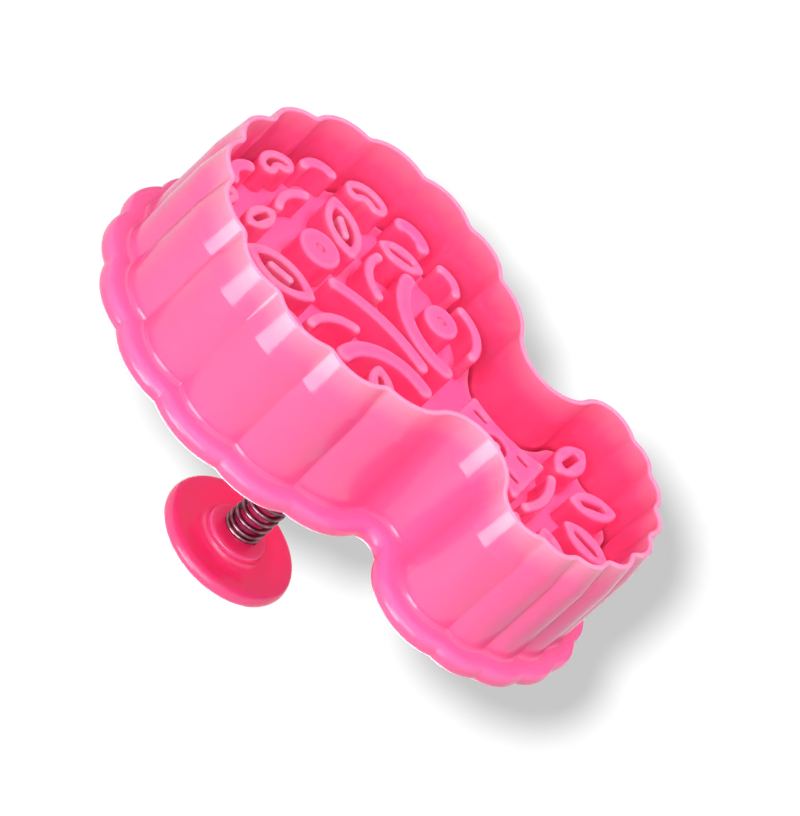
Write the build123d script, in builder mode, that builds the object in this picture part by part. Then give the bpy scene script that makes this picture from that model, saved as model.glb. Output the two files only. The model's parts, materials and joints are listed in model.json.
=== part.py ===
from build123d import *
import os
from math import atan2, cos, degrees, hypot, pi, radians, sin, sqrt

# A pastry plunger cutter. A scalloped cutting wall in the outline of a leafy tree stands on a
# flanged back deck, a stamp plate with a raised tree slides inside it, and a sprung push knob on
# the back drives the plate. Millimetres. The origin is on the stem's axis in the plane of the
# cutting edge, +Z points to the knob and +X to the tree's crown.

# Outline of the cutting edge. The trunk's length is from the crown to the mound's middle, and the
# mound's length from its middle to its end. Each lobe has its direction from the crown's or the
# mound's middle in degrees and its radius as a share of that half width.
crown_length = 52.0
crown_width = 51.5
trunk_length = 11.0
crown_lobe_shares = [
    (-138, 0.33),
    (-113, 0.25),
    (-90, 0.27),
    (-66, 0.26),
    (-43, 0.27),
    (-21, 0.25),
    (0, 0.26),
    (22, 0.25),
    (44, 0.26),
    (67, 0.27),
    (90, 0.26),
    (112, 0.24),
    (137, 0.35),
]
mound_length = 17.0
mound_width = 38.0
mound_lobe_shares = [
    (96, 0.27),
    (118, 0.21),
    (138, 0.23),
    (159, 0.20),
    (180, 0.23),
    (201, 0.21),
    (222, 0.22),
    (242, 0.21),
    (264, 0.27),
]
cusp_round = 1.2
least_cusp_round = 0.45
waist_ease = 0.6

# Cutting shell
wall_height = 21.0
band_height = 6.0
band_spread = 0.8
wall_spread = 0.4
edge_thickness = 0.75
edge_round = 0.2
inner_spread = 0.2
root_cove = 0.8
cove_steps = 3
flange_width = 3.0
flange_thickness = 3.0
flange_flat = 0.4
deck_thickness = 2.0
guide_boss_diameter = 8.4
guide_boss_height = 3.0
collar_height = 2.0
collar_wall = 1.4

# Stamp plate
plate_depth = 11.0
plate_thickness = 2.0
plate_clearance = 0.35
relief_height = 4.5
relief_round = 0.45
ridge_width = 1.6
socket_floor = 0.3

# Plunger
travel = 10.0
rest_gap = 0.05
stem_diameter = 4.0
stem_clearance = 0.1
press_clearance = 0.02
stem_chamfer = 0.4
knob_diameter = 22.0
knob_rim_height = 25.6
knob_dome = 3.2
rim_round = 1.3
hub_diameter = 9.7
hub_drop = 1.3
hub_round = 0.5
hub_side = 0.2
hub_cove = 1.2

# Return spring
wire_diameter = 0.8
spring_turns = 13.5
coil_clearance = 0.25
collar_clearance = 0.3
tail_turn = 38
tail_rise = 1.1
sample_length = 0.25

# How far a cut runs past what it cuts
overrun = 1.0

# Relief on the stamp plate. Places are shares of the crown's half length and half width about its
# middle, or of the trunk's half length and half its waist, lengths are shares of the crown's half
# width, and turns are in degrees. Each lobe of the crown has the width of its ridge as a share of
# the ridge width, or none for a loop.
relief_margin = 1.1
loop_wall = 1.3
loop_share = 0.53
vein_flat = 0.3
leaf_point = 2.1
leaf_tip_round = 0.4
leaf_slim_share = 0.54
vein_share = 0.36
groove_share = 0.5
groove_slim_share = 0.23
dimple_diameter = 1.9
trunk_top = 9.4
trunk_waist = 7.6
trunk_foot = 11.4
trunk_gap = 0.8
knot_diameter = 1.8
knot_groove = 1.0
bark_width = 0.8
bark_shares = [(0.62, 0.58, 0.36), (0.56, -0.55, 0.26), (-0.58, 0.60, 0.30), (-0.64, -0.57, 0.36)]
scallop_turn = 46
blade_place_share = 0.61
blade_length_share = 0.52
blade_turns = [96, 138, 180, 222, 264]
ground_shares = [(-1.25, 1.25), (-1.42, 0.0), (-1.25, -1.25)]
scallop_shares = [1.0, 1.0, 1.5, None, 1.1, None, 1.2, None, 1.1, None, 1.5, 1.0, 1.0]
branch_shares = [
    ([(-0.66, 0.14), (-0.36, 0.19), (-0.17, 0.48)], 1.6),
    ([(-0.66, -0.14), (-0.40, -0.18), (-0.24, -0.46)], 1.6),
    ([(-0.56, 0.0), (-0.24, 0.02), (0.07, -0.08)], 1.3),
    ([(-0.13, 0.16), (0.0, 0.25), (0.03, 0.42)], 1.0),
    ([(-0.18, -0.22), (-0.05, -0.33), (-0.01, -0.49)], 1.0),
    ([(0.53, 0.30), (0.59, 0.18), (0.57, 0.04)], 1.0),
]
leaf_shares = [
    (0.27, 0.365, 0.44, 40),
    (0.29, -0.38, 0.48, -14),
]
leaflet_shares = [
    (-0.05, 0.59, 0.32, 160),
    (0.05, -0.65, 0.32, 196),
    (-0.50, -0.42, 0.32, 52),
    (0.58, -0.16, 0.28, 100),
]
fruit_shares = [
    (0.26, 0.05, 0.27),
    (-0.45, 0.44, 0.23),
]

# Places and radii that follow
cut_length = crown_length + trunk_length + mound_length
flange_round = (flange_thickness - flange_flat) / 2
back_height = wall_height + flange_thickness
deck_height = back_height - deck_thickness
boss_end = deck_height - guide_boss_height
plate_front = plate_depth
plate_back = plate_front + plate_thickness
relief_face = plate_front - relief_height
vein_width = 2 * relief_round + vein_flat
socket_end = boss_end - rest_gap
stem_end = plate_back + socket_floor
rim_height = back_height + knob_rim_height
hub_face = rim_height - hub_drop
cove_start = hub_face + hub_round + hub_side
dish_height = cove_start + hub_cove
stem_radius = stem_diameter / 2
hub_radius = hub_diameter / 2
knob_radius = knob_diameter / 2
dish_radius = hub_radius + hub_cove
lip_radius = knob_radius - rim_round
dish_middle = ((dish_radius + lip_radius) / 2, (dish_height + rim_height) / 2)
lip_middle = rim_height + rim_round
lip_top = rim_height + 2 * rim_round
knob_top = lip_top + knob_dome
coil_radius = stem_radius + coil_clearance + wire_diameter / 2
collar_radius = coil_radius + wire_diameter / 2 + collar_clearance
coil_start = back_height + wire_diameter + tail_rise
coil_end = hub_face - wire_diameter - tail_rise
root_grow = band_spread + wall_spread
flange_grow = root_grow + flange_width
inner_grow = -edge_thickness - inner_spread
plate_grow = inner_grow - plate_clearance
crown_reach = crown_width / 2
standing = (Align.CENTER, Align.CENTER, Align.MIN)


def lobe_ring(middle, reach, half_width, shares):
    """Return lobes on an ellipse about a middle point as (x, y, radius), from directions and shares."""
    ring = []
    for turn, share in shares:
        radius = share * half_width
        along, across = reach - radius, half_width - radius
        ring.append((middle + along * cos(radians(turn)), across * sin(radians(turn)), radius))
    return ring


crown_middle = cut_length / 2 - crown_length / 2
crown_lobes = lobe_ring(crown_middle, crown_length / 2, crown_width / 2, crown_lobe_shares)
mound_middle = mound_length - cut_length / 2
mound_lobes = lobe_ring(mound_middle, mound_length, mound_width / 2, mound_lobe_shares)
lobes = crown_lobes + mound_lobes
trunk_high = crown_lobes[0][0] - crown_lobes[0][2]
trunk_low = mound_middle
trunk_middle = (trunk_high + trunk_low) / 2
trunk_reach = (trunk_high - trunk_low) / 2 - trunk_gap


def blend_between(first, second, grow):
    """Return the centre and radius of the arc that joins two lobes from outside, for a grown outline."""
    (x1, y1, r1), (x2, y2, r2) = first, second
    apart = hypot(x2 - x1, y2 - y1)
    gap = apart - r1 - r2
    round_ = cusp_round if gap < 0 else gap / 2 + waist_ease
    blend = max(round_ - grow, least_cusp_round)
    reach1, reach2 = r1 + grow + blend, r2 + grow + blend
    along = (reach1**2 - reach2**2 + apart**2) / (2 * apart)
    off = sqrt(reach1**2 - along**2)
    ux, uy = (x2 - x1) / apart, (y2 - y1) / apart
    return x1 + ux * along + uy * off, y1 + uy * along - ux * off, blend


def outline(height, grow):
    """Return the scalloped outline as a face at a height, moved outwards by grow."""
    ring = list(zip(lobes, lobes[1:] + lobes[:1]))
    blends = [blend_between(first, second, grow) for first, second in ring]
    with BuildSketch(Plane.XY.offset(height)) as face:
        with BuildLine():
            for index, (x, y, radius) in enumerate(lobes):
                before, after = blends[index - 1], blends[index]
                start = atan2(before[1] - y, before[0] - x)
                end = atan2(after[1] - y, after[0] - x)
                sweep = (end - start) % (2 * pi)
                CenterArc((x, y), radius + grow, degrees(start), degrees(sweep))
                bx, by, blend = after
                x2, y2, _ = lobes[(index + 1) % len(lobes)]
                start = atan2(y - by, x - bx)
                end = atan2(y2 - by, x2 - bx)
                sweep = (start - end) % (2 * pi)
                CenterArc((bx, by), blend, degrees(start), -degrees(sweep))
        make_face()
    return face.sketch


def arc_wire(points):
    """Return an arc through three points."""
    with BuildLine() as line:
        ThreePointArc(*points)
    return line.wire()


def around(x, y, reach, turn):
    """Return the point at a distance and direction from a middle point."""
    return x + reach * cos(radians(turn)), y + reach * sin(radians(turn))


def crown_spot(x_share, y_share):
    """Return a place in the crown from shares of its half length and half width, about its middle."""
    return crown_middle + x_share * crown_length / 2, y_share * crown_reach


def trunk_spot(x_share, y_share):
    """Return a place on the trunk from shares of its half length and of half its waist."""
    return trunk_middle + x_share * trunk_reach, y_share * trunk_waist / 2


def ridge(points, width):
    """Return a round-ended ridge of one width along an arc through three points."""
    with BuildSketch() as shape:
        SlotArc(arc_wire(points), width)
    return shape.sketch


def loop(points, width):
    """Return a raised loop around an arc through three points."""
    with BuildSketch() as shape:
        SlotArc(arc_wire(points), width)
        SlotArc(arc_wire(points), width - 2 * loop_wall, mode=Mode.SUBTRACT)
    return shape.sketch


def lobe_arc(index, width):
    """Return three points of an arc inside a lobe of the crown, a margin in from the plate's edge."""
    (x, y, radius), (facing, _) = crown_lobes[index], crown_lobe_shares[index]
    reach = radius + plate_grow - relief_margin - width / 2
    return [around(x, y, reach, facing + scallop_turn * side) for side in (-1, 0, 1)]


def lens(here, length, width, tip):
    """Return a shape between two equal arcs, with rounded points."""
    half, side = length / 2, width / 2
    bow = (half**2 + side**2) / (2 * side)
    with BuildSketch() as shape:
        with Locations(here * Location((0, bow - side, 0))):
            Circle(bow)
        with Locations(here * Location((0, side - bow, 0))):
            Circle(bow, mode=Mode.INTERSECT)
        fillet(shape.vertices(), tip)
    return shape.sketch


def leaf(place, length, turn):
    """Return a large leaf as a raised loop round a vein."""
    width = length * leaf_slim_share
    here = Location((*place, 0), (0, 0, turn))
    with BuildSketch() as shape:
        add(lens(here, length, width, loop_wall / 2))
        add(lens(here, length - 2 * leaf_point, width - 2 * loop_wall, leaf_tip_round), mode=Mode.SUBTRACT)
        with Locations(here):
            SlotOverall(length * vein_share, vein_width)
    return shape.sketch


def leaflet(place, length, turn):
    """Return a small leaf as a slab with a groove for its vein."""
    width = length * leaf_slim_share
    here = Location((*place, 0), (0, 0, turn))
    with BuildSketch() as shape:
        add(lens(here, length, width, loop_wall / 2))
        with Locations(here):
            SlotOverall(length * groove_share, width * groove_slim_share, mode=Mode.SUBTRACT)
    return shape.sketch


def disc(place, diameter):
    """Return a round shape."""
    with BuildSketch() as shape:
        with Locations(place):
            Circle(diameter / 2)
    return shape.sketch


def trunk():
    """Return the trunk as a slab with hollow sides, a ringed knot and grooves in its bark."""
    top, waist, foot = trunk_spot(1, 0)[0], trunk_spot(0, 0)[0], trunk_spot(-1, 0)[0]
    with BuildSketch() as shape:
        with BuildLine():
            ThreePointArc((foot, -trunk_foot / 2), (waist, -trunk_waist / 2), (top, -trunk_top / 2))
            Line((top, -trunk_top / 2), (top, trunk_top / 2))
            ThreePointArc((top, trunk_top / 2), (waist, trunk_waist / 2), (foot, trunk_foot / 2))
            Line((foot, trunk_foot / 2), (foot, -trunk_foot / 2))
        make_face()
        fillet(shape.vertices(), loop_wall / 2)
        with Locations((waist, 0)):
            Circle(knot_diameter / 2 + knot_groove, mode=Mode.SUBTRACT)
            Circle(knot_diameter / 2)
        for x, y, length in bark_shares:
            with Locations(trunk_spot(x, y)):
                SlotOverall(length * trunk_reach, bark_width, mode=Mode.SUBTRACT)
    return shape.sketch


def relief_shapes():
    """Return every raised shape of the tree on the stamp plate."""
    shapes = [trunk(), ridge([trunk_spot(x, y) for x, y in ground_shares], ridge_width)]
    for index, share in enumerate(scallop_shares):
        width = share * ridge_width if share else loop_share * crown_lobes[index][2]
        draw = ridge if share else loop
        shapes.append(draw(lobe_arc(index, width), width))
    for points, width in branch_shares:
        shapes.append(ridge([crown_spot(x, y) for x, y in points], width * ridge_width))
    for x, y, length, turn in leaf_shares:
        shapes.append(leaf(crown_spot(x, y), length * crown_reach, turn))
    for x, y, length, turn in leaflet_shares:
        shapes.append(leaflet(crown_spot(x, y), length * crown_reach, turn))
    for x, y, diameter in fruit_shares:
        shapes.append(disc(crown_spot(x, y), diameter * crown_reach))
    for turn in blade_turns:
        across = mound_width / 2 * blade_place_share * sin(radians(turn))
        place = mound_middle + mound_length * blade_place_share * cos(radians(turn)), across
        shapes.append(leaflet(place, mound_length * blade_length_share, turn))
    return shapes


def raised(shape):
    """Return a relief shape as a solid that stands on the plate's front, with a rounded top."""
    with BuildPart() as body:
        with BuildSketch(Plane.XY.offset(plate_front)):
            add(shape)
        extrude(amount=-relief_height)
        fillet(body.edges().group_by(Axis.Z)[0], relief_round)
    return body.part


def wall_levels():
    """Return the outside of the wall as heights with growths, from the edge to the flange's cove."""
    levels = [(0, -edge_round), (edge_round, 0), (band_height, band_spread)]
    for step in range(cove_steps + 1):
        turn = radians(90 * step / cove_steps)
        levels.append((wall_height - root_cove * (1 - sin(turn)), root_grow + root_cove * (1 - cos(turn))))
    return levels


def cavity_levels():
    """Return the inside of the wall as heights with growths, from in front of the edge to the deck."""
    mouth = edge_round - edge_thickness
    return [(-overrun, mouth), (0, mouth), (edge_round, -edge_thickness), (deck_height, inner_grow)]


# Cutting shell
with BuildPart() as cutter_shell:
    extrude(outline(wall_height, flange_grow), amount=flange_thickness)
    fillet(cutter_shell.edges().filter_by(GeomType.LINE, reverse=True), flange_round)
    loft([outline(height, grow) for height, grow in wall_levels()], ruled=True)
    loft([outline(height, grow) for height, grow in cavity_levels()], ruled=True, mode=Mode.SUBTRACT)
    with Locations((0, 0, boss_end)):
        Cylinder(guide_boss_diameter / 2, guide_boss_height, align=standing)
    with Locations((0, 0, back_height)):
        Cylinder(collar_radius + collar_wall, collar_height, align=standing)
        Cylinder(collar_radius, collar_height, align=standing, mode=Mode.SUBTRACT)
    with Locations((0, 0, boss_end)):
        Cylinder(stem_radius + stem_clearance, back_height - boss_end, align=standing, mode=Mode.SUBTRACT)
cutter_shell.part.label = "cutter_shell"

# Stamp plate with its relief and its socket boss
with BuildPart() as stamp_plate:
    extrude(outline(plate_front, plate_grow), amount=plate_thickness)
    add([raised(shape) for shape in relief_shapes()])
    with Locations([(*crown_spot(x, y), relief_face) for x, y, _ in fruit_shares]):
        Sphere(dimple_diameter / 2, mode=Mode.SUBTRACT)
    with Locations((0, 0, plate_back)):
        Cylinder(guide_boss_diameter / 2, socket_end - plate_back, align=standing)
        Cylinder(stem_radius + press_clearance, socket_end - plate_back, align=standing, mode=Mode.SUBTRACT)
stamp_plate.part.label = "stamp_plate"

# Push knob with its stem
with BuildPart() as push_knob:
    with BuildSketch(Plane.XZ) as profile:
        with BuildLine():
            Polyline(
                (0, stem_end),
                (stem_radius - stem_chamfer, stem_end),
                (stem_radius, stem_end + stem_chamfer),
                (stem_radius, hub_face),
                (hub_radius - hub_round, hub_face),
            )
            TangentArc((hub_radius - hub_round, hub_face), (hub_radius, hub_face + hub_round), tangent=(1, 0))
            Line((hub_radius, hub_face + hub_round), (hub_radius, cove_start))
            TangentArc((hub_radius, cove_start), (dish_radius, dish_height), tangent=(0, 1))
            TangentArc((dish_radius, dish_height), dish_middle, tangent=(1, 0))
            TangentArc((lip_radius, rim_height), dish_middle, tangent=(-1, 0))
            ThreePointArc((lip_radius, rim_height), (knob_radius, lip_middle), (lip_radius, lip_top))
            TangentArc((0, knob_top), (lip_radius, lip_top), tangent=(1, 0))
            Line((0, knob_top), (0, stem_end))
        make_face()
    revolve(axis=Axis.Z)
push_knob.part.label = "push_knob"


def coil_point(turns, rise):
    """Return the wire's centre and its direction on the helix, so many turns from the start."""
    turn = 2 * pi * turns
    place = Vector(coil_radius * cos(turn), coil_radius * sin(turn), coil_start + rise * turns)
    way = Vector(-2 * pi * coil_radius * sin(turn), 2 * pi * coil_radius * cos(turn), rise)
    return place, way.normalized()


def biarc(first, second):
    """Draw two tangent arcs between two points that have directions, and return the smaller radius."""
    (start, leave), (end, arrive) = first, second
    chord, both = end - start, leave + arrive
    spread = 2 * (1 - leave.dot(arrive))
    along = chord.dot(both)
    reach = (sqrt(along**2 + spread * chord.dot(chord)) - along) / spread
    middle = (start + end + (leave - arrive) * reach) * 0.5
    way = (end - arrive * reach) - (start + leave * reach)
    arcs = [TangentArc(start, middle, tangent=leave), TangentArc(middle, end, tangent=way)]
    return min(arc.edge().radius for arc in arcs)


def least_gap(wire):
    """Return the least gap between the turns of the spring, measured on points along its wire."""
    count = round(wire.length / sample_length)
    points = [wire.position_at(index / count) for index in range(count + 1)]
    skip = round(pi * coil_radius / sample_length)
    pairs = ((first, second) for index, first in enumerate(points) for second in points[index + skip :])
    return min((first - second).length for first, second in pairs) - wire_diameter


# Return spring
coil_rise = (coil_end - coil_start) / spring_turns
foot_place = Vector(*around(0, 0, coil_radius, -tail_turn), back_height)
head_place = Vector(*around(0, 0, coil_radius, degrees(2 * pi * spring_turns) + tail_turn), hub_face)
tail = Vector(0, 0, wire_diameter)
up = Vector(0, 0, 1)
with BuildPart() as return_spring:
    with BuildLine() as coil:
        Line(foot_place, foot_place + tail)
        radii = [biarc((foot_place + tail, up), coil_point(0, coil_rise))]
        for half in range(round(2 * spring_turns)):
            radii.append(biarc(coil_point(half / 2, coil_rise), coil_point((half + 1) / 2, coil_rise)))
        radii.append(biarc(coil_point(spring_turns, coil_rise), (head_place - tail, up)))
        Line(head_place - tail, head_place)
    with BuildSketch(Plane(foot_place, z_dir=up)):
        Circle(wire_diameter / 2)
    sweep()
return_spring.part.label = "return_spring"

print("spring: pitch", round(coil_rise, 3), "least radius", round(min(radii), 3))
print("spring: least gap to itself", round(least_gap(coil.wire()), 3))
closed_rise = coil_rise * (1 - travel / (hub_face - back_height))
print("spring: gap between turns with the knob pressed home", round(closed_rise - wire_diameter, 3))
print("spring: volume", round(return_spring.part.volume, 2))
print("spring: section times length", round(pi * wire_diameter**2 / 4 * coil.wire().length, 2))

os.makedirs("parts", exist_ok=True)
for piece in (cutter_shell, stamp_plate, push_knob, return_spring):
    print(piece.part.label, piece.part.is_valid, len(piece.part.solids()), len(piece.part.faces()))
    export_step(piece.part, f"parts/{piece.part.label}.step")
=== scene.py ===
"""A sprung pastry plunger cutter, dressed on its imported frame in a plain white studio.

The shell, the stamp plate and the push knob are glossy, slightly translucent pink mouldings, and a
bright steel spring stands between the knob's hub and the shell's back. Lengths are in metres in the
frame's own axes: Z runs along the stem to the knob, X to the crown of the cutting wall, and the
cutting edge lies in the plane Z = 0. The photograph looks up at the open side of the cutter, from
under the floor's level, so the floor shows from above only.
"""

from __future__ import annotations

import json
import logging
import math
from collections.abc import Iterable
from dataclasses import dataclass
from enum import Enum

import bpy
from mathutils import Matrix, Quaternion, Vector

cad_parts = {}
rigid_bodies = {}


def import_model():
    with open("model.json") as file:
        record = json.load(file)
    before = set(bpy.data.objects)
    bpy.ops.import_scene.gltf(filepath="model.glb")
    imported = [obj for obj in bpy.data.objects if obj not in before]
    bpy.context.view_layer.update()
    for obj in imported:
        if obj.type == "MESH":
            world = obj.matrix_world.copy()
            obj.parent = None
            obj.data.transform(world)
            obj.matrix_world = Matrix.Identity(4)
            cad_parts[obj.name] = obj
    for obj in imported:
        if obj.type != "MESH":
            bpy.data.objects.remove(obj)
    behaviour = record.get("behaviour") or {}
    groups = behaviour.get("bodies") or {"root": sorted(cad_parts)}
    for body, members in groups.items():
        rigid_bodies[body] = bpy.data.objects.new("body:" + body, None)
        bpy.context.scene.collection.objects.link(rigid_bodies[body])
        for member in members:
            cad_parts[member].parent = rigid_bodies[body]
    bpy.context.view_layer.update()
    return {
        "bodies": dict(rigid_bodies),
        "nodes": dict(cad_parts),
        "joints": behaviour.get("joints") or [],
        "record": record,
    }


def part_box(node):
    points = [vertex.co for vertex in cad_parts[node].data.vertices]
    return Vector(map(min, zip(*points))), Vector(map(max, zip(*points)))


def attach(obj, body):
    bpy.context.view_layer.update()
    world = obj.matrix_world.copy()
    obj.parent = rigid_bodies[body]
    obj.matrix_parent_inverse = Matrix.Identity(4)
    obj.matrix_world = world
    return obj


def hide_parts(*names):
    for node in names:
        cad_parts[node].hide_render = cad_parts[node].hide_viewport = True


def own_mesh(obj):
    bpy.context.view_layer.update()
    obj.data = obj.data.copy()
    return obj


log = logging.getLogger("plunger_cutter")

MILLIMETRE = 0.001
OBJECT_MIDDLE = Vector((0.0, 0.0, 0.02))
WHITE = (1.0, 1.0, 1.0)

Colour = tuple[float, float, float]
Shade = Colour | bpy.types.NodeSocket


class Node(Enum):
    """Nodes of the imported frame."""

    SHELL = "cutter_shell"
    STAMP = "stamp_plate"
    KNOB = "push_knob"
    SPRING = "return_spring"


def direction(azimuth: float, elevation: float) -> Vector:
    """Return the unit vector towards a compass place round the object.

    Args:
        azimuth: Degrees round the Z axis, with 0 on the -Y side and 90 on the +X side.
        elevation: Degrees above the horizon.

    Returns:
        The unit vector from the object to that place.
    """
    turn, rise = math.radians(azimuth), math.radians(elevation)
    flat = math.cos(rise)
    return Vector((math.sin(turn) * flat, -math.cos(turn) * flat, math.sin(rise)))


class Graph:
    """A small helper that adds and joins the nodes of one material or world.

    Attributes:
        noise_middle: Range in which most of a noise value lies.
        tree: The node tree.
    """

    noise_middle = (0.3, 0.7)

    def __init__(self, tree: bpy.types.NodeTree) -> None:
        """Start from an empty tree."""
        self.tree = tree
        tree.nodes.clear()

    def add(self, kind: str, **values: object) -> bpy.types.Node:
        """Add a node and set its sockets.

        Args:
            kind: Blender's name of the node type.
            **values: Socket values by name, with a space written as an underscore. A value that is
                itself a socket is joined, and any other is set. Names that the node has as a
                property, such as operation, set that property.

        Returns:
            The new node.
        """
        node = self.tree.nodes.new(kind)
        for name, value in values.items():
            if hasattr(node, name):
                setattr(node, name, value)
        for name, value in values.items():
            if hasattr(node, name):
                continue
            socket = node.inputs[name.replace("_", " ")]
            if isinstance(value, bpy.types.NodeSocket):
                self.tree.links.new(value, socket)
            elif socket.type == "RGBA" and len(value) == 3:
                socket.default_value = (*value, 1.0)
            else:
                socket.default_value = value
        return node

    def larger(self, first: bpy.types.NodeSocket, second: bpy.types.NodeSocket) -> bpy.types.NodeSocket:
        """Return the larger of two values."""
        node = self.add("ShaderNodeMath", operation="MAXIMUM")
        for socket, value in zip(node.inputs, (first, second)):
            self.tree.links.new(value, socket)
        return node.outputs["Value"]

    def noise(self, place: bpy.types.NodeSocket, grain: float, detail: float = 2.0) -> bpy.types.NodeSocket:
        """Return a noise value, from a place and the size of its grain in metres."""
        return self.add("ShaderNodeTexNoise", Vector=place, Scale=1.0 / grain, Detail=detail).outputs["Fac"]

    def between(self, value: bpy.types.NodeSocket, low: float, high: float) -> bpy.types.NodeSocket:
        """Spread the middle of a noise value over a range, and return the result."""
        start, end = self.noise_middle
        node = self.add(
            "ShaderNodeMapRange", Value=value, From_Min=start, From_Max=end, To_Min=low, To_Max=high
        )
        return node.outputs["Result"]

    def smooth_step(self, value: bpy.types.NodeSocket, start: float, end: float) -> bpy.types.NodeSocket:
        """Return a share that eases from 0 to 1 as a value goes from a start to an end."""
        node = self.add(
            "ShaderNodeMapRange", interpolation_type="SMOOTHSTEP", Value=value, From_Min=start, From_Max=end
        )
        return node.outputs["Result"]

    def tint(self, share: bpy.types.NodeSocket, first: Shade, second: Shade) -> bpy.types.NodeSocket:
        """Return a colour that goes from the first to the second as a share goes from 0 to 1."""
        node = self.tree.nodes.new("ShaderNodeMix")
        node.data_type = "RGBA"
        sockets = {socket.identifier: socket for socket in node.inputs}
        self.tree.links.new(share, sockets["Factor_Float"])
        for name, value in (("A_Color", first), ("B_Color", second)):
            if isinstance(value, bpy.types.NodeSocket):
                self.tree.links.new(value, sockets[name])
            else:
                sockets[name].default_value = (*value, 1.0)
        return next(socket for socket in node.outputs if socket.identifier == "Result_Color")

    def glow(self, colour: Colour, strength: float) -> bpy.types.NodeSocket:
        """Return a shader that gives its own light."""
        return self.add("ShaderNodeEmission", Color=colour, Strength=strength).outputs["Emission"]

    def join(
        self,
        first: bpy.types.NodeSocket,
        second: bpy.types.NodeSocket,
        share: bpy.types.NodeSocket | None = None,
    ) -> bpy.types.NodeSocket:
        """Join two shaders.

        Args:
            first: Shader that shows where the share is 0.
            second: Shader that shows where the share is 1.
            share: Share of the second, or None to add the two.

        Returns:
            The joined shader.
        """
        if share is None:
            node = self.add("ShaderNodeAddShader")
        else:
            node = self.add("ShaderNodeMixShader", Fac=share)
        ends = [socket for socket in node.inputs if socket.type == "SHADER"]
        for socket, shader in zip(ends, (first, second)):
            self.tree.links.new(shader, socket)
        return node.outputs["Shader"]

    def finish(self, shader: bpy.types.NodeSocket, output: str = "ShaderNodeOutputMaterial") -> None:
        """Join the last shader to the output."""
        self.add(output, Surface=shader)


def new_material(name: str) -> tuple[bpy.types.Material, Graph]:
    """Return a new material and its empty graph."""
    made = bpy.data.materials.new(name)
    made.use_nodes = True
    return made, Graph(made.node_tree)


@dataclass(frozen=True)
class GlossyPlastic:
    """Glossy moulded plastic that lets a little light through.

    Attributes:
        name: The material's name.
        colour: Colour of most of the moulding, linear.
        flow_colour: Colour where the melt flowed last, linear.
        thin_edge_painted_glow: Paler colour where the plastic is thin, as at its rims and edges, linear:
            painted glow of light shining through the thin plastic and painted sheen.
        thin_reach: Thickness from which the plastic shows its full colour.
        thin_range: Shares of that thickness between which the colour changes.
        thickness_samples: Rays that measure the thickness.
        glow: Share of the light that scatters inside.
        glow_reach: How far red, green and blue light travel inside.
        gloss: Strength of the skin's reflection, where 0.5 is plain plastic.
        roughness: Lowest and highest roughness.
        flow_grain: Size of the colour clouds.
        smudge_grain: Size of the handling marks.
        skin_grain: Size of the moulded skin's ripple.
        skin_depth: Depth of that ripple.
    """

    name: str
    colour: Colour = (0.998, 0.114, 0.332)
    flow_colour: Colour = (1.0, 0.126, 0.350)
    # Paler colour at thin rims and edges: painted glow of light shining through the thin plastic, and
    # painted sheen.
    thin_edge_painted_glow: Colour = (1.0, 0.29, 0.44)
    thin_reach: float = 0.0015
    thin_range: tuple[float, float] = (0.1, 0.9)
    thickness_samples: int = 8
    glow: float = 0.9
    glow_reach: Colour = (0.0018, 0.0012, 0.0015)
    gloss: float = 0.7
    roughness: tuple[float, float] = (0.15, 0.22)
    flow_grain: float = 0.022
    smudge_grain: float = 0.007
    skin_grain: float = 0.0032
    skin_depth: float = 0.000012

    def material(self) -> bpy.types.Material:
        """Build the material and return it."""
        made, graph = new_material(self.name)
        place = graph.add("ShaderNodeTexCoord").outputs["Object"]
        flow = graph.between(graph.noise(place, self.flow_grain, detail=3.0), 0.0, 1.0)
        thick_shade = graph.tint(flow, self.colour, self.flow_colour)
        # Thin rims and edges turn paler here: painted glow and painted sheen.
        shade = graph.tint(self.thickness(graph), self.thin_edge_painted_glow, thick_shade)
        roughness = graph.between(graph.noise(place, self.smudge_grain, detail=4.0), *self.roughness)
        ripple = graph.noise(place, self.skin_grain)
        skin = graph.add("ShaderNodeBump", Height=ripple, Distance=self.skin_depth, Strength=1.0)
        plastic = graph.add(
            "ShaderNodeBsdfPrincipled",
            Base_Color=shade,
            Roughness=roughness,
            Normal=skin.outputs["Normal"],
            Subsurface_Weight=self.glow,
            Subsurface_Radius=self.glow_reach,
            Subsurface_Scale=1.0,
            Specular_IOR_Level=self.gloss,
        )
        graph.finish(plastic.outputs["BSDF"])
        return made

    def thickness(self, graph: Graph) -> bpy.types.NodeSocket:
        """Return how thick the plastic is behind its surface, from 0 at a thin rim to 1."""
        depth = graph.add(
            "ShaderNodeAmbientOcclusion",
            samples=self.thickness_samples,
            inside=True,
            only_local=True,
            Distance=self.thin_reach,
        )
        return graph.smooth_step(depth.outputs["AO"], *self.thin_range)


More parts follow.
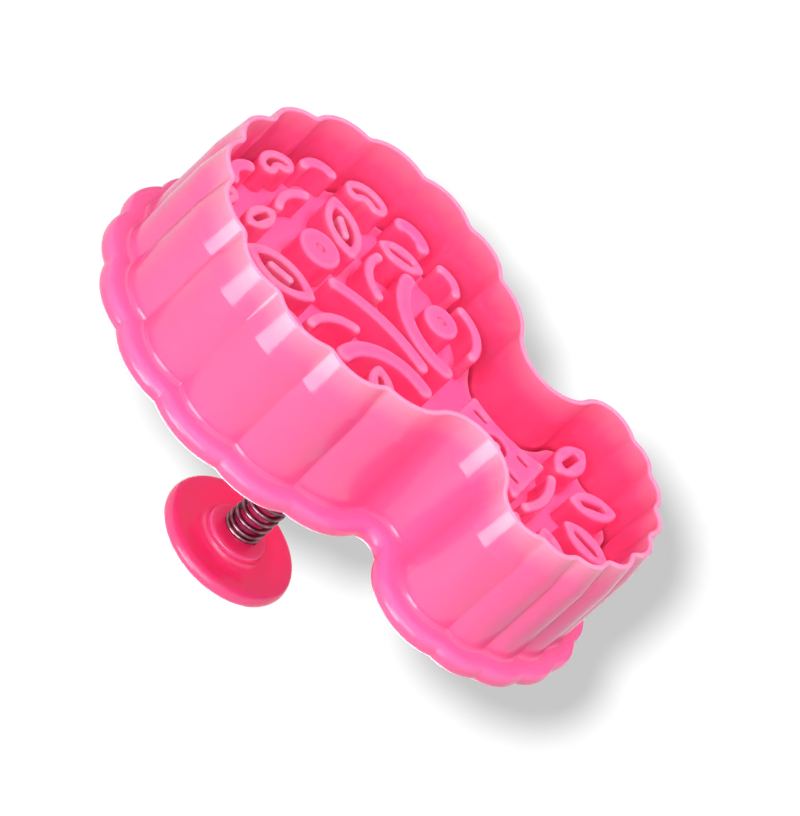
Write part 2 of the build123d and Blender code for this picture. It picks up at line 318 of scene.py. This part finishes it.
@dataclass(frozen=True)
class DrawnSteel:
    """Drawn spring wire, its colours darkened and tinted pink as a painted reflection of the pink mouldings
    and of dark surroundings.

    Attributes:
        name: The material's name.
        colour: Colour of the steel, linear, with the painted reflection in it.
        dull_band_painted_reflection: Colour of its darker bands, which vary at random, linear, with the
            painted reflection in it too.
        roughness: Lowest and highest roughness.
        band_grain: Size of the bands.
    """

    name: str
    # Darkened, pink-tinted steel: painted reflection of the pink plastic and of dark surroundings.
    colour: Colour = (0.34, 0.21, 0.24)
    dull_band_painted_reflection: Colour = (0.11, 0.05, 0.065)
    roughness: tuple[float, float] = (0.10, 0.22)
    band_grain: float = 0.0016

    def material(self) -> bpy.types.Material:
        """Build the material and return it."""
        made, graph = new_material(self.name)
        place = graph.add("ShaderNodeTexCoord").outputs["Object"]
        bands = graph.between(graph.noise(place, self.band_grain, detail=3.0), 0.0, 1.0)
        shade = graph.tint(bands, self.colour, self.dull_band_painted_reflection)
        roughness = graph.between(graph.noise(place, self.band_grain), *self.roughness)
        steel = graph.add("ShaderNodeBsdfPrincipled", Base_Color=shade, Roughness=roughness, Metallic=1.0)
        graph.finish(steel.outputs["BSDF"])
        return made


@dataclass(frozen=True)
class StageWhite:
    """White of a studio sheet that shows from its front only.

    Attributes:
        name: The material's name.
        shade: Share of the light that falls on it that it sends back.
        own_light: Brightness that it adds, so that it shows as white where no shadow falls.
        fade: Distances from the middle between which it turns plain white, or None.
    """

    name: str
    shade: float
    own_light: float
    fade: tuple[float, float] | None = None

    def material(self) -> bpy.types.Material:
        """Build the material and return it."""
        made, graph = new_material(self.name)
        matt = graph.add("ShaderNodeBsdfDiffuse", Color=(self.shade, self.shade, self.shade)).outputs["BSDF"]
        shown = graph.join(matt, graph.glow(WHITE, self.own_light))
        if self.fade:
            place = graph.add("ShaderNodeTexCoord").outputs["Object"]
            away = graph.add("ShaderNodeVectorMath", operation="LENGTH", Vector=place).outputs["Value"]
            shown = graph.join(shown, graph.glow(WHITE, 1.0), graph.smooth_step(away, *self.fade))
        behind = graph.add("ShaderNodeNewGeometry").outputs["Backfacing"]
        clear = graph.add("ShaderNodeBsdfTransparent").outputs["BSDF"]
        graph.finish(graph.join(shown, clear, behind))
        return made


@dataclass
class MouldedPart:
    """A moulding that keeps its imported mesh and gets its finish.

    Attributes:
        node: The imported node.
        finish: The moulding's finish.
    """

    node: Node
    finish: GlossyPlastic

    def dress(self, frame: dict) -> None:
        """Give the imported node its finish.
        """
        mesh = frame["nodes"][self.node.value].data
        mesh.materials.clear()
        mesh.materials.append(self.finish.material())
        log.info("%s: %d faces, finished in %s", self.node.value, len(mesh.polygons), self.finish.name)


@dataclass
class ReturnSpring:
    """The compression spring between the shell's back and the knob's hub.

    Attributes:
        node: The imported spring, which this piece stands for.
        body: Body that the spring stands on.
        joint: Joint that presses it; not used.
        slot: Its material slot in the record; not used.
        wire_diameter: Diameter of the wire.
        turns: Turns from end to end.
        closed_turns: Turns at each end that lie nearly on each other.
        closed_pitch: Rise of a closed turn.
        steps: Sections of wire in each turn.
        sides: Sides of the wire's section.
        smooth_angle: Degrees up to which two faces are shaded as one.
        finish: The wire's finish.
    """

    node: Node = Node.SPRING
    body: str = "cutter"
    joint: str = "plunger_slide"
    slot: str = "spring_steel"
    wire_diameter: float = 0.0008
    turns: float = 16.5
    closed_turns: float = 1.8
    closed_pitch: float = 0.00094
    steps: int = 30
    sides: int = 14
    smooth_angle: float = 50.0
    finish: DrawnSteel = DrawnSteel("spring_wire_painted_reflection")

    def rise(self, turn: float, length: float) -> float:
        """Return how far the wire has climbed after some turns, for a spring of some length."""
        lift = length - self.wire_diameter
        open_turns = self.turns - 2 * self.closed_turns
        open_pitch = (lift - 2 * self.closed_turns * self.closed_pitch) / open_turns
        if turn <= self.closed_turns:
            return turn * self.closed_pitch
        if turn >= self.turns - self.closed_turns:
            return lift - (self.turns - turn) * self.closed_pitch
        return self.closed_turns * self.closed_pitch + (turn - self.closed_turns) * open_pitch

    def build(self) -> bpy.types.Object:
        """Model the wire as a ring that is screwed up round the stem, and return it."""
        low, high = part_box(self.node.value)
        length = high.z - low.z
        wire_radius = self.wire_diameter / 2
        coil_radius = (high.x - low.x) / 2 - wire_radius
        bpy.ops.object.select_all(action="DESELECT")
        bpy.ops.mesh.primitive_circle_add(
            vertices=self.sides,
            radius=wire_radius,
            location=(coil_radius, 0.0, low.z + wire_radius),
            rotation=(math.pi / 2, 0.0, 0.0),
        )
        spring = bpy.context.active_object
        spring.name = "spring_wire"
        bpy.ops.object.transform_apply(location=True, rotation=True, scale=True)
        screw = spring.modifiers.new("turns", "SCREW")
        screw.angle = 2 * math.pi * self.turns
        screw.steps = screw.render_steps = round(self.steps * self.turns)
        screw.screw_offset = 0.0
        screw.use_merge_vertices = False
        bpy.ops.object.modifier_apply(modifier=screw.name)
        for index, vertex in enumerate(spring.data.vertices):
            vertex.co.z += self.rise(index // self.sides / self.steps, length)
        bpy.ops.object.mode_set(mode="EDIT")
        bpy.ops.mesh.select_all(action="SELECT")
        bpy.ops.mesh.fill_holes(sides=self.sides)
        bpy.ops.mesh.normals_make_consistent(inside=False)
        bpy.ops.object.mode_set(mode="OBJECT")
        bpy.ops.object.shade_smooth_by_angle(angle=math.radians(self.smooth_angle))
        spring.data.materials.append(self.finish.material())
        log.info("spring_wire: %.1f turns in %.1f mm", self.turns, length / MILLIMETRE)
        return spring

    def place(self, frame: dict) -> None:
        """Build the spring and let it ride on the shell, in place of the imported spring.
        """
        spring = self.build()
        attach(spring, self.body)
        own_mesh(spring)
        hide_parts(self.node.value)


@dataclass(frozen=True)
class StudioCamera:
    """The camera at the photograph's viewing angle.

    Attributes:
        target: Point of the object in the middle of the picture.
        distance: Distance from that point.
        azimuth: Degrees round the object.
        elevation: Degrees above the horizon.
        roll: Degrees that the camera is turned about its own axis, anticlockwise from behind it.
        lens: Focal length in millimetres.
        sensor: Width of the sensor in millimetres.
        sight: Nearest and farthest distance that it sees.
    """

    target: tuple[float, float, float] = (-0.0026, -0.0060, 0.0100)
    distance: float = 0.4724
    azimuth: float = 0.13
    elevation: float = -33.35
    roll: float = -132.61
    lens: float = 154.4
    sensor: float = 36.0
    sight: tuple[float, float] = (0.01, 10.0)

    def turn(self) -> Quaternion:
        """Return the camera's rotation."""
        upright = (-direction(self.azimuth, self.elevation)).to_track_quat("-Z", "Y")
        return upright @ Quaternion((0.0, 0.0, 1.0), math.radians(self.roll))

    def matrix(self) -> Matrix:
        """Return the camera's place and rotation as one matrix."""
        place = Vector(self.target) + direction(self.azimuth, self.elevation) * self.distance
        return Matrix.Translation(place) @ self.turn().to_matrix().to_4x4()

    def make(self) -> bpy.types.Object:
        """Create the camera, make it the scene's own and return it."""
        data = bpy.data.cameras.new("photo_camera")
        data.sensor_width = self.sensor
        data.lens = self.lens
        data.clip_start, data.clip_end = self.sight
        camera = bpy.data.objects.new("photo_camera", data)
        bpy.context.scene.collection.objects.link(camera)
        camera.matrix_world = self.matrix()
        bpy.context.scene.camera = camera
        return camera


@dataclass(frozen=True)
class Softbox:
    """A rectangular soft light that faces the object.

    Attributes:
        name: The lamp's name.
        azimuth: Degrees round the object.
        elevation: Degrees above the horizon.
        distance: Distance from the object.
        width: Width of the light.
        height: Height of the light.
        level: Light that falls on a facing surface, where pi shows white as white.
        mirrored: Whether it shows in reflections.
        on_floor: Whether it lights the floor too.
    """

    name: str
    azimuth: float
    elevation: float
    distance: float
    width: float
    height: float
    level: float
    mirrored: bool = True
    on_floor: bool = False

    def make(self, lit: bpy.types.Collection) -> bpy.types.Object:
        """Create the light.

        Args:
            lit: Collection whose objects say which of them this light reaches.

        Returns:
            The lamp.
        """
        data = bpy.data.lights.new(self.name, "AREA")
        data.shape = "RECTANGLE"
        data.size, data.size_y = self.width, self.height
        data.energy = self.level * math.pi * self.distance**2
        lamp = bpy.data.objects.new(self.name, data)
        bpy.context.scene.collection.objects.link(lamp)
        way = direction(self.azimuth, self.elevation)
        lamp.location = OBJECT_MIDDLE + way * self.distance
        lamp.rotation_mode = "QUATERNION"
        lamp.rotation_quaternion = (-way).to_track_quat("-Z", "Y")
        lamp.visible_glossy = self.mirrored
        lamp.light_linking.receiver_collection = lit
        return lamp


def stage_sheet(name: str, reach: float, matrix: Matrix, finish: bpy.types.Material) -> bpy.types.Object:
    """Add a square stage sheet that only the camera sees.

    Args:
        name: The sheet's name.
        reach: Half its width.
        matrix: Its place, with its front towards its own +Z.
        finish: Its material.

    Returns:
        The sheet.
    """
    bpy.ops.object.select_all(action="DESELECT")
    bpy.ops.mesh.primitive_plane_add(size=2 * reach)
    sheet = bpy.context.active_object
    sheet.name = name
    sheet.data.transform(matrix)
    sheet.data.materials.append(finish)
    sheet.visible_diffuse = sheet.visible_glossy = sheet.visible_transmission = False
    sheet.visible_shadow = sheet.visible_volume_scatter = False
    return sheet


def light_group(name: str, members: Iterable[bpy.types.Object], excluded: bool) -> bpy.types.Collection:
    """Group the objects that a lamp works on alone, or that it leaves out.

    Args:
        name: The collection's name.
        members: The objects.
        excluded: Whether the lamp leaves them out.

    Returns:
        The collection.
    """
    group = bpy.data.collections.new(name)
    for member in members:
        group.objects.link(member)
    if excluded:
        for entry in group.collection_objects:
            entry.light_linking.link_state = "EXCLUDE"
    return group


@dataclass(frozen=True)
class DarkCard:
    """A dark card beside the set that shows in reflections alone and gives them contrast.

    Attributes:
        name: The card's name.
        azimuth: Degrees round the object.
        elevation: Degrees above the horizon.
        distance: Distance from the object.
        reach: Half its width.
        shade: Its brightness.
        tint: Its colour.
    """

    name: str = "dark_card"
    azimuth: float = 180.0
    elevation: float = -35.0
    distance: float = 0.5
    reach: float = 0.6
    shade: float = 0.35
    tint: Colour = (1.0, 0.8, 0.85)

    def hang(self) -> None:
        """Hang the card so that it faces the object."""
        way = direction(self.azimuth, self.elevation)
        facing = (-way).to_track_quat("Z", "Y").to_matrix().to_4x4()
        matrix = Matrix.Translation(OBJECT_MIDDLE + way * self.distance) @ facing
        made, graph = new_material(self.name)
        graph.finish(graph.glow(self.tint, self.shade))
        card = stage_sheet(self.name, self.reach, matrix, made)
        card.visible_camera, card.visible_glossy = False, True


@dataclass
class Studio:
    """A pale floor, a white backdrop, soft light and the camera.

    Attributes:
        camera: The photograph's camera.
        ambient: Light from all sides, where 1 shows white as white.
        card: The dark card behind and below the object.
        floor_reach: Half the width of the floor.
        floor_white: The floor's finish.
        backdrop_behind: How far the backdrop stands behind the object.
        backdrop_reach: Half the width of the backdrop.
        backdrop_shade: Share of the light that the backdrop sends back.
        backdrop_level: Brightness of the backdrop out of the shadow.
        shadow_level: Brightness that the object's shadow takes away from the backdrop.
        shadow_shift: How far the shadow's lamp stands left of the camera and above it.
        shadow_blur: Radius of that lamp.
        shadow_nodes: Nodes that cast the shadow.
        boxes: The soft lights.
    """

    camera: StudioCamera = StudioCamera()
    ambient: float = 0.3
    card: DarkCard = DarkCard()
    floor_reach: float = 2.0
    floor_white: StageWhite = StageWhite("pale_floor", 0.42, 0.38, fade=(0.12, 0.45))
    backdrop_behind: float = 0.5
    backdrop_reach: float = 0.16
    backdrop_shade: float = 0.2
    backdrop_level: float = 1.02
    shadow_level: float = 0.45
    shadow_shift: tuple[float, float] = (0.0086, 0.0120)
    shadow_blur: float = 0.006
    shadow_nodes: tuple[Node, ...] = (Node.SHELL, Node.STAMP)
    boxes: tuple[Softbox, ...] = (
        Softbox("key_softbox", 24.0, 9.0, 0.6, 0.38, 0.25, 1.5),
        Softbox("front_fill", 2.0, -18.0, 0.6, 0.6, 0.42, 1.75),
        Softbox("low_fill", -6.0, -84.0, 0.7, 0.36, 0.36, 3.5, mirrored=False),
        Softbox("back_softbox", 190.0, 12.0, 0.7, 0.6, 0.4, 2.0, mirrored=False),
        Softbox("top_softbox", 170.0, 72.0, 0.8, 0.6, 0.6, 2.4, on_floor=True),
    )

    def light_world(self) -> None:
        """Light the object from all sides, and show white to the camera and in reflections."""
        world = bpy.data.worlds.new("white_studio")
        world.use_nodes = True
        bpy.context.scene.world = world
        graph = Graph(world.node_tree)
        path = graph.add("ShaderNodeLightPath").outputs
        seen = graph.larger(path["Is Camera Ray"], path["Is Glossy Ray"])
        seen = graph.larger(seen, path["Is Transmission Ray"])
        strength = graph.add("ShaderNodeMapRange", Value=seen, To_Min=self.ambient, To_Max=1.0)
        light = graph.add("ShaderNodeBackground", Color=WHITE, Strength=strength.outputs["Result"])
        graph.finish(light.outputs["Background"], "ShaderNodeOutputWorld")

    def lay_floor(self) -> bpy.types.Object:
        """Lay the floor in the plane of the cutting edge and return it."""
        return stage_sheet("floor", self.floor_reach, Matrix.Identity(4), self.floor_white.material())

    def hang_backdrop(self, camera: bpy.types.Object) -> bpy.types.Object:
        """Hang the backdrop behind the object, square to the camera, and return it."""
        away = self.camera.distance + self.backdrop_behind
        matrix = camera.matrix_world @ Matrix.Translation((0.0, 0.0, -away))
        own_light = self.backdrop_level - self.shadow_level - self.backdrop_shade * self.ambient
        finish = StageWhite("white_backdrop", self.backdrop_shade, own_light)
        return stage_sheet("backdrop", self.backdrop_reach, matrix, finish.material())

    def cast_shadow(self, camera: bpy.types.Object, backdrop: bpy.types.Object, frame: dict) -> None:
        """Cast the object's soft shadow on the backdrop with a lamp beside the camera.

        Args:
            camera: The photograph's camera.
            backdrop: The sheet that shows the shadow.
        """
        away = self.camera.distance + self.backdrop_behind
        data = bpy.data.lights.new("shadow_lamp", "POINT")
        data.shadow_soft_size = self.shadow_blur
        data.energy = self.shadow_level / self.backdrop_shade * 4 * math.pi**2 * away**2
        lamp = bpy.data.objects.new("shadow_lamp", data)
        bpy.context.scene.collection.objects.link(lamp)
        left, above = self.shadow_shift
        lamp.location = camera.matrix_world @ Vector((-left, above, 0.0))
        casters = [frame["nodes"][node.value] for node in self.shadow_nodes]
        lamp.light_linking.receiver_collection = light_group("backdrop_lit", [backdrop], excluded=False)
        lamp.light_linking.blocker_collection = light_group("shadow_casters", casters, excluded=False)

    def make(self, frame: dict) -> None:
        """Set up the whole studio.
        """
        camera = self.camera.make()
        self.light_world()
        self.card.hang()
        floor = self.lay_floor()
        backdrop = self.hang_backdrop(camera)
        sheets_left_out = light_group("not_lit", [floor, backdrop], excluded=True)
        backdrop_left_out = light_group("backdrop_not_lit", [backdrop], excluded=True)
        for box in self.boxes:
            box.make(backdrop_left_out if box.on_floor else sheets_left_out)
        self.cast_shadow(camera, backdrop, frame)


MOULDINGS = (
    MouldedPart(Node.SHELL, GlossyPlastic("shell_pink")),
    MouldedPart(Node.STAMP, GlossyPlastic("stamp_pink")),
    MouldedPart(
        Node.KNOB,
        GlossyPlastic(
            "knob_painted_shade_pink",
            # The knob is the shell's plastic; its deeper, redder colour is painted shade, for the shade it
            # lies in behind the shell.
            colour=(0.985, 0.062, 0.262),
            flow_colour=(0.990, 0.070, 0.275),
            glow_reach=(0.012, 0.0005, 0.0012),
        ),
    ),
)


def main() -> None:
    """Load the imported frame, dress it, add the spring and set up the studio."""
    logging.basicConfig(level=logging.INFO, format="%(name)s: %(message)s")
    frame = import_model()
    for moulding in MOULDINGS:
        moulding.dress(frame)
    ReturnSpring().place(frame)
    Studio().make(frame)
    bpy.context.scene.view_settings.view_transform = "Standard"


if __name__ == "__main__":
    main()
